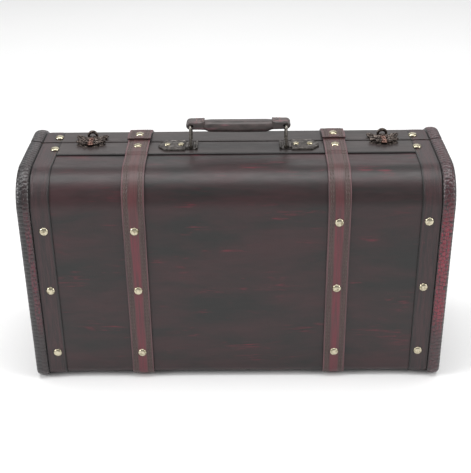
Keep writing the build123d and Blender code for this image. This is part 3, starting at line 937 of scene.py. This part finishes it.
def dome_nail(place, radius, height, seed):
    """Hammered dome head with a thin rolled rim."""
    rng = random.Random(seed)
    steps = 9
    rim = 0.25 * MM
    profile = [(0.0, height)]
    for i in range(1, steps + 1):
        a = math.pi / 2 * i / steps
        profile.append((radius * math.sin(a) * 0.985, rim + (height - rim) * math.cos(a)))
    profile += [(radius, rim * 0.7), (radius * 0.93, 0.05 * MM), (radius * 0.90, 0.0)]
    points, faces = lathe(profile, Matrix.Identity(4), 28)
    dents = [(rng.uniform(-0.55, 0.55), rng.uniform(-0.55, 0.55), rng.uniform(0.35, 0.6)) for _ in range(3)]
    shaped = []
    for p in points:
        sink = 0.0
        for dx, dy, size in dents:
            near = math.hypot(p.x / radius - dx, p.y / radius - dy) / size
            sink += 0.07 * MM * max(0.0, 1 - near * near)
        shaped.append(place @ Vector((p.x, p.y, p.z - sink)))
    return shaped, faces


def nail_groups(node):
    """Points of each nail in a CAD node, one array for each of its loose solids."""
    mesh = frame["nodes"][node].data
    count = len(mesh.vertices)
    keys = {}
    for v in mesh.vertices:
        keys.setdefault(tuple(round(c, 6) for c in v.co), v.index)
    same = [keys[tuple(round(c, 6) for c in v.co)] for v in mesh.vertices]
    parent = list(range(count))

    def root(i):
        while parent[i] != i:
            parent[i] = parent[parent[i]]
            i = parent[i]
        return i

    for polygon in mesh.polygons:
        first = root(same[polygon.vertices[0]])
        for v in polygon.vertices:
            parent[root(same[v])] = first
    groups = {}
    for i in range(count):
        groups.setdefault(root(same[i]), []).append(mesh.vertices[i].co)
    return [np.array(g) for g in groups.values()]


def nails(name, node, body, dome):
    """Replaces a group of CAD nails with finished heads on the same seats."""
    parts = []
    for seed, points in enumerate(nail_groups(node)):
        low, high = points.min(0), points.max(0)
        size = high - low
        axis = next(k for k in range(3) if abs(size[(k + 1) % 3] - size[(k + 2) % 3]) < 0.2 * MM)
        radius = size[(axis + 1) % 3] / 2
        centre = (low + high) / 2
        wide = points[np.abs(points[:, (axis + 1) % 3] - centre[(axis + 1) % 3]) > radius * 0.95]
        seat = wide[:, axis].mean()
        across = np.hypot(*(points[:, k] - centre[k] for k in ((axis + 1) % 3, (axis + 2) % 3)))
        on_dome = points[(across > radius * 0.3) & (across < radius * 0.9)]
        outward = math.copysign(1.0, on_dome[:, axis].mean() - seat)
        normal = Vector((0, 0, 0))
        normal[axis] = outward
        foot = Vector(centre)
        foot[axis] = seat
        turn = normal.to_track_quat("Z", "Y").to_matrix().to_4x4()
        spin = Matrix.Rotation(seed * 1.7, 4, "Z")
        parts.append(dome_nail(Matrix.Translation(foot) @ turn @ spin, radius, dome, seed + len(node)))
    points, faces = joined(parts)
    piece = new_piece(name, points, faces, crease=50)
    dress(piece, MAT["nail"], body, [node])


# ---- Handle

GRIP_Y, GRIP_Z = JOINT["grip_level"]["pos_m"][1:]
RING_X = {word: JOINT[f"ring_{word}_swing"]["pos_m"][0] for word in SIDES}
LOOP_RADIUS = 4.3 * MM
LOOP_REACH = 14 * MM


def grip_sausage():
    """Leather bar filled out in the middle and drawn in where it enters the end loops."""
    start = RING_X["left"] + 7 * MM
    end = RING_X["right"] - 7 * MM
    stations, sides = 80, 40
    points = []
    for i in range(stations + 1):
        t = i / stations
        x = start + (end - start) * t
        inside = smooth(min(x - start, end - x) / (14 * MM))
        half_width = (4.6 + 2.7 * inside) * MM
        half_height = (3.2 + 2.5 * inside) * MM
        sag = 2.0 * MM * inside
        for k in range(sides):
            a = math.tau * k / sides
            c, s = math.cos(a), math.sin(a)
            seam = 0.5 * MM * math.exp(-((a - math.radians(212)) / 0.10) ** 2)
            wobble = uneven(x * 3, a * 0.02, 0.3 * MM, 23.0) - seam
            y = (half_width + wobble) * math.copysign(abs(c) ** 0.72, c)
            z = (half_height + wobble) * math.copysign(abs(s) ** 0.78, s)
            points.append((x, GRIP_Y + y, GRIP_Z + z - sag))
    return new_piece("grip_leather", points, capped(stations + 1, sides, flip=True), crease=60)


def grip_loop(word, side):
    """Strap end folded round the ring's bar and sewn back over the grip."""
    width = 12 * MM
    hole = 1.6 * MM
    outer, inner = [], []
    for i in range(15):
        a = math.pi / 2 + math.pi * i / 14
        outer.append((LOOP_RADIUS * math.cos(a), LOOP_RADIUS * math.sin(a)))
        inner.append((hole * math.cos(a), hole * math.sin(a)))
    runs = (0.25, 0.5, 0.75, 1.0)
    for sign, order in ((-1, runs), (1, runs[::-1])):
        for t in order:
            outer.append((LOOP_REACH * t, sign * (LOOP_RADIUS + 0.3 * MM * t * t)))
            inner.append((hole + 2 * MM * t, sign * hole * (1 - t)))
    place = Matrix.Translation((RING_X[word], GRIP_Y, GRIP_Z)) @ Matrix.Rotation(math.pi / 2, 4, "X")
    if side > 0:
        place = place @ Matrix.Rotation(math.pi, 4, "Y")
    points, faces = extruded(outer, inner, -width / 2, width / 2, 1.3 * MM, place)
    return new_piece(f"grip_loop_{word}", points, faces, crease=40)


def grip_stitches(word, side):
    """Rows of thread across the fold and along both edges of a loop's upper face."""
    inward = -side
    z = GRIP_Z + LOOP_RADIUS - 0.1 * MM
    parts = []
    rows = [((across * MM, y * MM), (0, 1)) for across in (6.2, 12.2) for y in (-3.4, -1.1, 1.2)]
    rows += [((along * MM, y * MM), (1, 0)) for along in (5.2, 8.4) for y in (-4.2, 4.2)]
    for (across, y), (dx, dy) in rows:
        centres = []
        for t in (0.0, 0.5, 1.0):
            step = 2.0 * MM * t
            rise = 0.25 * MM * math.sin(math.pi * t) + 0.2 * MM * (across / LOOP_REACH) ** 2
            centres.append((RING_X[word] + inward * (across + dx * step), GRIP_Y + y + dy * step, z + rise))
        parts.append(tube(centres, [0.18 * MM, 0.34 * MM, 0.18 * MM], sides=6))
    points, faces = joined(parts)
    return new_piece(f"grip_stitches_{word}", points, faces)


def handle_plate(word, side):
    """Stamped plate: a raised field inside a bevelled border, the ring's knuckle, and the foot
    with its rolled edge. Drawn in millimetres, outward from the ring."""
    low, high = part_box(f"handle_plate_{word}")
    depth = (high.y - low.y) / 2 / MM
    thick, middle_x = 2.2, 17
    outer = [(5.5, -1), (15.0, -1), (26.0, -1), (33.0, -0.32)]
    outline = outer + [(x, -y) for x, y in reversed(outer)]
    levels = [(1.0, 0.0), (1.0, thick - 0.9), (0.965, thick - 0.3), (0.90, thick - 0.1),
              (0.86, thick - 0.45), (0.80, thick - 0.05), (0.45, thick + 0.02)]
    rows = [(middle_x + (x - middle_x) * scale, y * depth * scale, z)
            for scale, z in levels for x, y in outline]
    plate = (rows, capped(len(levels), len(outline)))
    knuckle = tube([(0, y, 2.3) for y in (-7.0, -6.6, 6.6, 7.0)], [1.8, 2.3, 2.3, 1.8], sides=20)
    web = tube([(3.9, y, 0.9) for y in (-7.0, 7.0)], 2.4, sides=12, flat=0.36)
    foot = tube([(0.5, y, 0.5) for y in (-9.6, 9.6)], 6.0, sides=16, flat=0.075)
    lip = tube([(-5.5, y, 1.3) for y in (-9.8, 0, 9.8)], [1.1, 1.3, 1.1], sides=12)
    points, faces = joined([plate, knuckle, web, foot, lip])
    turn = Matrix.Rotation(0 if side > 0 else math.pi, 4, "Z")
    place = Matrix.Translation((RING_X[word], GRIP_Y, TRIM_TOP)) @ turn @ Matrix.Scale(MM, 4)
    piece = new_piece(f"ring_plate_{word}", [place @ Vector(p) for p in points], faces)
    dress(piece, MAT["plate"], "body", [f"handle_plate_{word}"])


def handle():
    sausage = grip_sausage()
    dress(sausage, MAT["handle"], "grip", ["handle_grip"])
    for word, side in SIDES.items():
        dress(grip_loop(word, side), MAT["handle"], "grip")
        dress(grip_stitches(word, side), MAT["handle_thread"], "grip")
        handle_plate(word, side)


# ---- Latches

VEIN = (-0.9, -0.4, 0.1, 0.55)  # places along a petal, from -1 to 1


def loop_points(centre, size, turn, tilt):
    """Leaf-shaped closed loop round centre. tilt raises its outer end."""
    points, count = [], 20
    c, s = math.cos(turn), math.sin(turn)
    for i in range(count):
        a = math.tau * i / count
        x, y = size[0] * math.cos(a), size[1] * math.sin(a) * (1 - 0.25 * math.cos(a))
        z = tilt * math.cos(a) + 0.25 * math.cos(2 * a)
        points.append((centre[0] + x * c - y * s, centre[1] + x * s + y * c, centre[2] + z))
    return points


def petal(sign, centre, angle, size, wire, tilt):
    """Open petal on one side of a latch: a rolled rim with a small leaf vein inside."""
    turn = math.radians(angle if sign > 0 else 180 - angle)
    x, y, z = sign * centre[0], centre[1], centre[2]
    along = [size[0] * t for t in VEIN]
    vein = [(x + run * math.cos(turn), y + run * math.sin(turn), z + tilt * t + 0.2)
            for run, t in zip(along, VEIN)]
    rim = loop_points((x, y, z), size, turn, tilt)
    return [tube(rim, wire, closed=True), tube(vein, [wire * (0.75 - 0.35 * abs(t)) for t in VEIN], sides=6)]


def latch_pivot(word, base):
    """X of a latch, and its pivot's Y and Z in millimetres from the seam and from base."""
    x, y, z = JOINT[f"hasp_{word}_lift"]["pos_m"]
    return x, (y - SEAM) / MM, (z - base) / MM


def at_latch(parts, x, base):
    """Parts drawn in millimetres about the seam, joined and moved to a latch."""
    points, faces = joined(parts)
    origin = Vector((x, SEAM, base))
    return [origin + Vector(p) * MM for p in points], faces


def latch_plate_look(word):
    """Lid half: two open petals, the raised arch, a leaf and the outer knuckles."""
    base = TRIM_TOP + 1.3 * MM
    x, y, z = latch_pivot(word, base)
    parts = []
    for sign in (-1, 1):
        parts += petal(sign, (11.3, 7.0, 0.6), 28, (4.6, 3.2), 1.0, 0.5)
        low, high = sorted((sign * 4.9, sign * 9.5))
        knuckle = [(end, y, z) for end in (low, low + 0.4, high - 0.4, high)]
        parts.append(tube(knuckle, [1.25, 1.6, 1.6, 1.25], sides=14))
        parts.append(tube([(sign * 3.4, 9.4, 0), (sign * 8.2, 7.6, 0)], [1.6, 1.2], flat=0.7))
    arch, radii, stations = [], [], 14
    for i in range(stations + 1):
        a = math.radians(-16 + 212 * i / stations)
        arch.append((-4.3 * math.cos(a), 10.0, 1.5 + 4.3 * math.sin(a)))
        radii.append(1.35 + 0.35 * math.sin(a) ** 2)
    parts.append(tube(arch, radii, sides=12, up=Vector((0, 1, 0))))
    leaf = [(end, 9.0, 0.9) for end in (-3.8, -1.4, 1.4, 3.8)]
    parts.append(tube(leaf, [0.5, 1.5, 1.5, 0.5], sides=10, flat=0.6))
    piece = new_piece(f"latch_rosette_{word}", *at_latch(parts, x, base), crease=60)
    dress(piece, MAT["latch"], "lid")
    foot = latch_foot(f"latch_foot_{word}", x, [(-11.0, 7.2), (0.0, 10.6), (11.0, 7.2)])
    dress(foot, MAT["latch"], "lid", [f"latch_plate_{word}"])


def latch_foot(name, x, lobes):
    """Thin lobed base plate under the cast ornament, bevelled all round."""
    radius, waist = 4.2, 0.45
    profile = [(0.0, 0.95), (radius * 0.4, 1.0), (radius * 0.85, 0.8), (radius, 0.45), (radius, 0.0)]
    parts = [lathe(profile, Matrix.Translation((*lobe, 0)), 28) for lobe in lobes]
    for (ax, ay), (bx, by) in zip(lobes, lobes[1:]):
        neck = [(ax, ay, waist), ((ax + bx) / 2, (ay + by) / 2, waist), (bx, by, waist)]
        parts.append(tube(neck, [2.6, 2.0, 2.6], sides=10, flat=0.17))
    return new_piece(name, *at_latch(parts, x, TRIM_TOP), crease=50)


def hasp_look(word):
    """Moving half: centre knuckle, tongue, front petals and the round pull knob."""
    base = TRIM_TOP + 2.9 * MM
    x, y, z = latch_pivot(word, base)
    parts = [tube([(end, y, z) for end in (-4.6, -4.2, 4.2, 4.6)], [1.2, 1.6, 1.6, 1.2], sides=14)]
    for sign in (-1, 1):
        parts += petal(sign, (9.4, -4.0, 0), -28, (5.0, 3.9), 1.05, 0.35)
        parts += petal(sign, (5.2, -8.9, -0.1), -62, (3.4, 2.7), 0.85, 0.2)
        arm = [(sign * 1.5, 1.0, 0.3), (sign * 4.2, -1.2, 0.5), (sign * 6.6, -2.6, 0)]
        parts.append(tube(arm, [1.1, 1.5, 1.0], flat=0.8))
    piece = new_piece(f"hasp_petals_{word}", *at_latch(parts, x, base), crease=60)
    dress(piece, MAT["latch"], f"hasp_{word}", [f"hasp_{word}"])
    tongue = [(0, 3.4, 0.2), (0, 1.0, 0.6), (0, -3.0, 0.5), (0, -7.0, 0), (0, -9.6, -0.3)]
    knob = [(0.0, 2.7), (1.2, 2.6), (2.3, 2.0), (2.8, 1.1), (2.3, 0.5), (3.4, 0.1), (3.6, -0.5), (3.4, -1.0)]
    boss = [(0.0, 1.5), (1.0, 1.4), (1.8, 0.8), (2.1, 0.0), (2.1, -0.4)]
    parts = [tube(tongue, [2.0, 3.3, 3.0, 2.2, 2.6], sides=14, flat=0.42),
             lathe(knob, Matrix.Translation((0, -10.4, 0.2)), 24),
             lathe(boss, Matrix.Translation((0, -2.2, 1.3)), 20)]
    piece = new_piece(f"hasp_tongue_{word}", *at_latch(parts, x, base), crease=60)
    dress(piece, MAT["copper"], f"hasp_{word}")


def latch(word):
    latch_plate_look(word)
    hasp_look(word)
    x = latch_pivot(word, TRIM_TOP)[0]
    lobes = [(-10.4, -6.2), (-4.6, -9.6), (4.6, -9.6), (10.4, -6.2)]
    catch = latch_foot(f"latch_catch_foot_{word}", x, lobes)
    dress(catch, MAT["latch"], "body", [f"latch_catch_{word}"])


# ---- Lining

def lining(name, lid):
    """Cloth glued inside one half: four walls and the broad panel, slightly slack."""
    out = 1 if lid else -1
    mouth = SEAM + out * 0.6 * MM
    grow = -3.85 * MM
    loop = outline_loop(grow, lid, mouth, 6)
    dense = []
    for a, b in zip(loop, loop[1:]):
        steps = max(1, int(math.dist(a, b) / (9 * MM)))
        dense += [tuple(p + (q - p) * i / steps for p, q in zip(a, b)) for i in range(steps)]
    dense.append(loop[-1])
    half = LINING_END - 0.75 * MM
    columns = 46
    centre = Vector(((SEAM + (BACK if lid else FRONT)) / 2, (TOP + BOTTOM) / 2))
    points, rows = [], len(dense)
    for y, z in dense:
        for j in range(columns + 1):
            x = half * (2 * j / columns - 1)
            slack = 0.5 * MM * noise.noise(Vector((x * 18, y * 18, z * 18 + 40)))
            pull = (centre - Vector((y, z))).normalized() * (slack + 0.35 * MM)
            points.append((x, y + pull.x, z + pull.y))
    faces = grid_faces(rows, columns + 1, False, flip=lid)
    for side, column in ((-1, 0), (1, columns)):
        ring = [i * (columns + 1) + column for i in range(rows)]
        faces.append(tuple(ring) if (side > 0) == lid else tuple(reversed(ring)))
    piece = new_piece(name, points, faces, crease=50)
    thick = piece.modifiers.new("cloth", "SOLIDIFY")
    thick.thickness = 0.3 * MM
    thick.offset = -1
    return piece


# ---- Building everything

def half_pieces(half, lid):
    """What the body and the lid both have."""
    def put(piece, material, slot, *nodes):
        dress(piece, MAT[material], half, [f"{half}_{node}" for node in nodes])

    put(leather_cover(f"{half}_leather", lid), "case", "case_leather", "cover")
    put(mouth_leather(f"{half}_mouth_leather", lid), "rim", "case_leather")
    put(rim_trim(f"{half}_rim_strip", lid), "rim", "rim_leather", "rim_trim")
    put(lining(f"{half}_lining_cloth", lid), "lining", "lining_cloth", "lining")
    for word, side in SIDES.items():
        leather_end = end_leather(f"{half}_end_leather_{word}", side, lid)
        put(leather_end, "case", "end_leather", f"end_cover_{word}")
        piping = binding(f"{half}_piping_{word}", side, lid)
        put(piping, f"binding_{word}", "binding_leather", f"binding_{word}")
        put(band(f"{half}_end_band_{word}", side, lid), "band", "band_leather", f"band_{word}")


def paint(node, material):
    piece = frame["nodes"][node]
    piece.data.materials.clear()
    piece.data.materials.append(MAT[material])


half_pieces("body", False)
half_pieces("lid", True)
for word in SIDES:
    body_strap(word)
    lid_strap(word)
    latch(word)
handle()
nails("body_dome_nails", "body_nails", "body", 2.2 * MM)
nails("lid_dome_nails", "lid_nails", "lid", 2.2 * MM)
nails("plate_dome_nails", "handle_nails", "body", 1.6 * MM)
for word in SIDES:
    nails(f"tab_dome_{word}", f"tab_snap_{word}", f"tab_{word}", 2.2 * MM)
    paint(f"handle_ring_{word}", "ring")
for half in ("body", "lid"):
    paint(f"{half}_board", "board")
    paint(f"hinge_leaves_{half}", "hinge")
    paint(f"hinge_screws_{half}", "hinge")
    paint(f"latch_pins_{half}", "latch")
    for word in SIDES:
        paint(f"{half}_end_board_{word}", "board")
paint("hinge_pins", "hinge")
paint("latch_hinge_pins", "copper")
paint("strap_snap_studs", "ring")
paint("handle_core", "board")

# ---- Floor, light and camera

def floor():
    size = 6.0
    points = [(-size, -size, -HAIR), (size, -size, -HAIR), (size, size, -HAIR), (-size, size, -HAIR)]
    piece = new_piece("floor", points, [(0, 1, 2, 3)])
    finish = Finish("floor_paper", "object")
    cloud = finish.noise((3, 3, 3), 3.0)
    finish.link(finish.mix(cloud, (0.86, 0.86, 0.86), (0.89, 0.89, 0.89)), "Base Color")
    finish.set(Roughness=0.9, Specular_IOR_Level=0.1)
    piece.data.materials.append(finish.material)


def area_light(name, place, target, size, power):
    data = bpy.data.lights.new(name, "AREA")
    data.shape = "RECTANGLE"
    data.size, data.size_y = size
    data.energy = power
    lamp = bpy.data.objects.new(name, data)
    bpy.context.scene.collection.objects.link(lamp)
    lamp.location = place
    lamp.rotation_euler = (Vector(target) - Vector(place)).to_track_quat("-Z", "Y").to_euler()


def studio():
    world = bpy.data.worlds.new("studio")
    world.use_nodes = True
    world.node_tree.nodes["Background"].inputs["Color"].default_value = (1.0, 1.0, 1.0, 1.0)
    world.node_tree.nodes["Background"].inputs["Strength"].default_value = 0.43
    bpy.context.scene.world = world
    area_light("overhead", (0.0, -0.05, 1.9), (0, 0.0, 0.1), (2.4, 1.0), 31)
    area_light("rear", (0.0, 1.7, 1.2), (0, 0, 0.2), (2.6, 0.7), 6)
    area_light("left", (-1.6, -0.6, 0.9), (-0.3, -0.3, 0), (0.8, 0.8), 17)
    area_light("right", (1.6, -0.6, 0.9), (0.3, -0.3, 0), (0.8, 0.8), 12)


def camera():
    """Standing about a metre in front and looking down at the case."""
    yaw, pitch, roll = (math.radians(a) for a in (-0.678, 28.225, -0.737))
    forward = Vector((math.sin(yaw) * math.cos(pitch), math.cos(yaw) * math.cos(pitch), -math.sin(pitch)))
    level = Vector((math.cos(yaw), -math.sin(yaw), 0))
    upright = level.cross(forward)
    right = math.cos(roll) * level + math.sin(roll) * upright
    up = -math.sin(roll) * level + math.cos(roll) * upright
    turn = Matrix((right, up, -forward)).transposed().to_4x4()
    data = bpy.data.cameras.new("camera")
    data.lens = 74.98
    data.sensor_width = 36.0
    cam = bpy.data.objects.new("camera", data)
    bpy.context.scene.collection.objects.link(cam)
    cam.matrix_world = Matrix.Translation((0.0095, -0.9132, 0.6183)) @ turn
    bpy.context.scene.camera = cam


floor()
studio()
camera()
bpy.context.scene.view_settings.view_transform = "Standard"
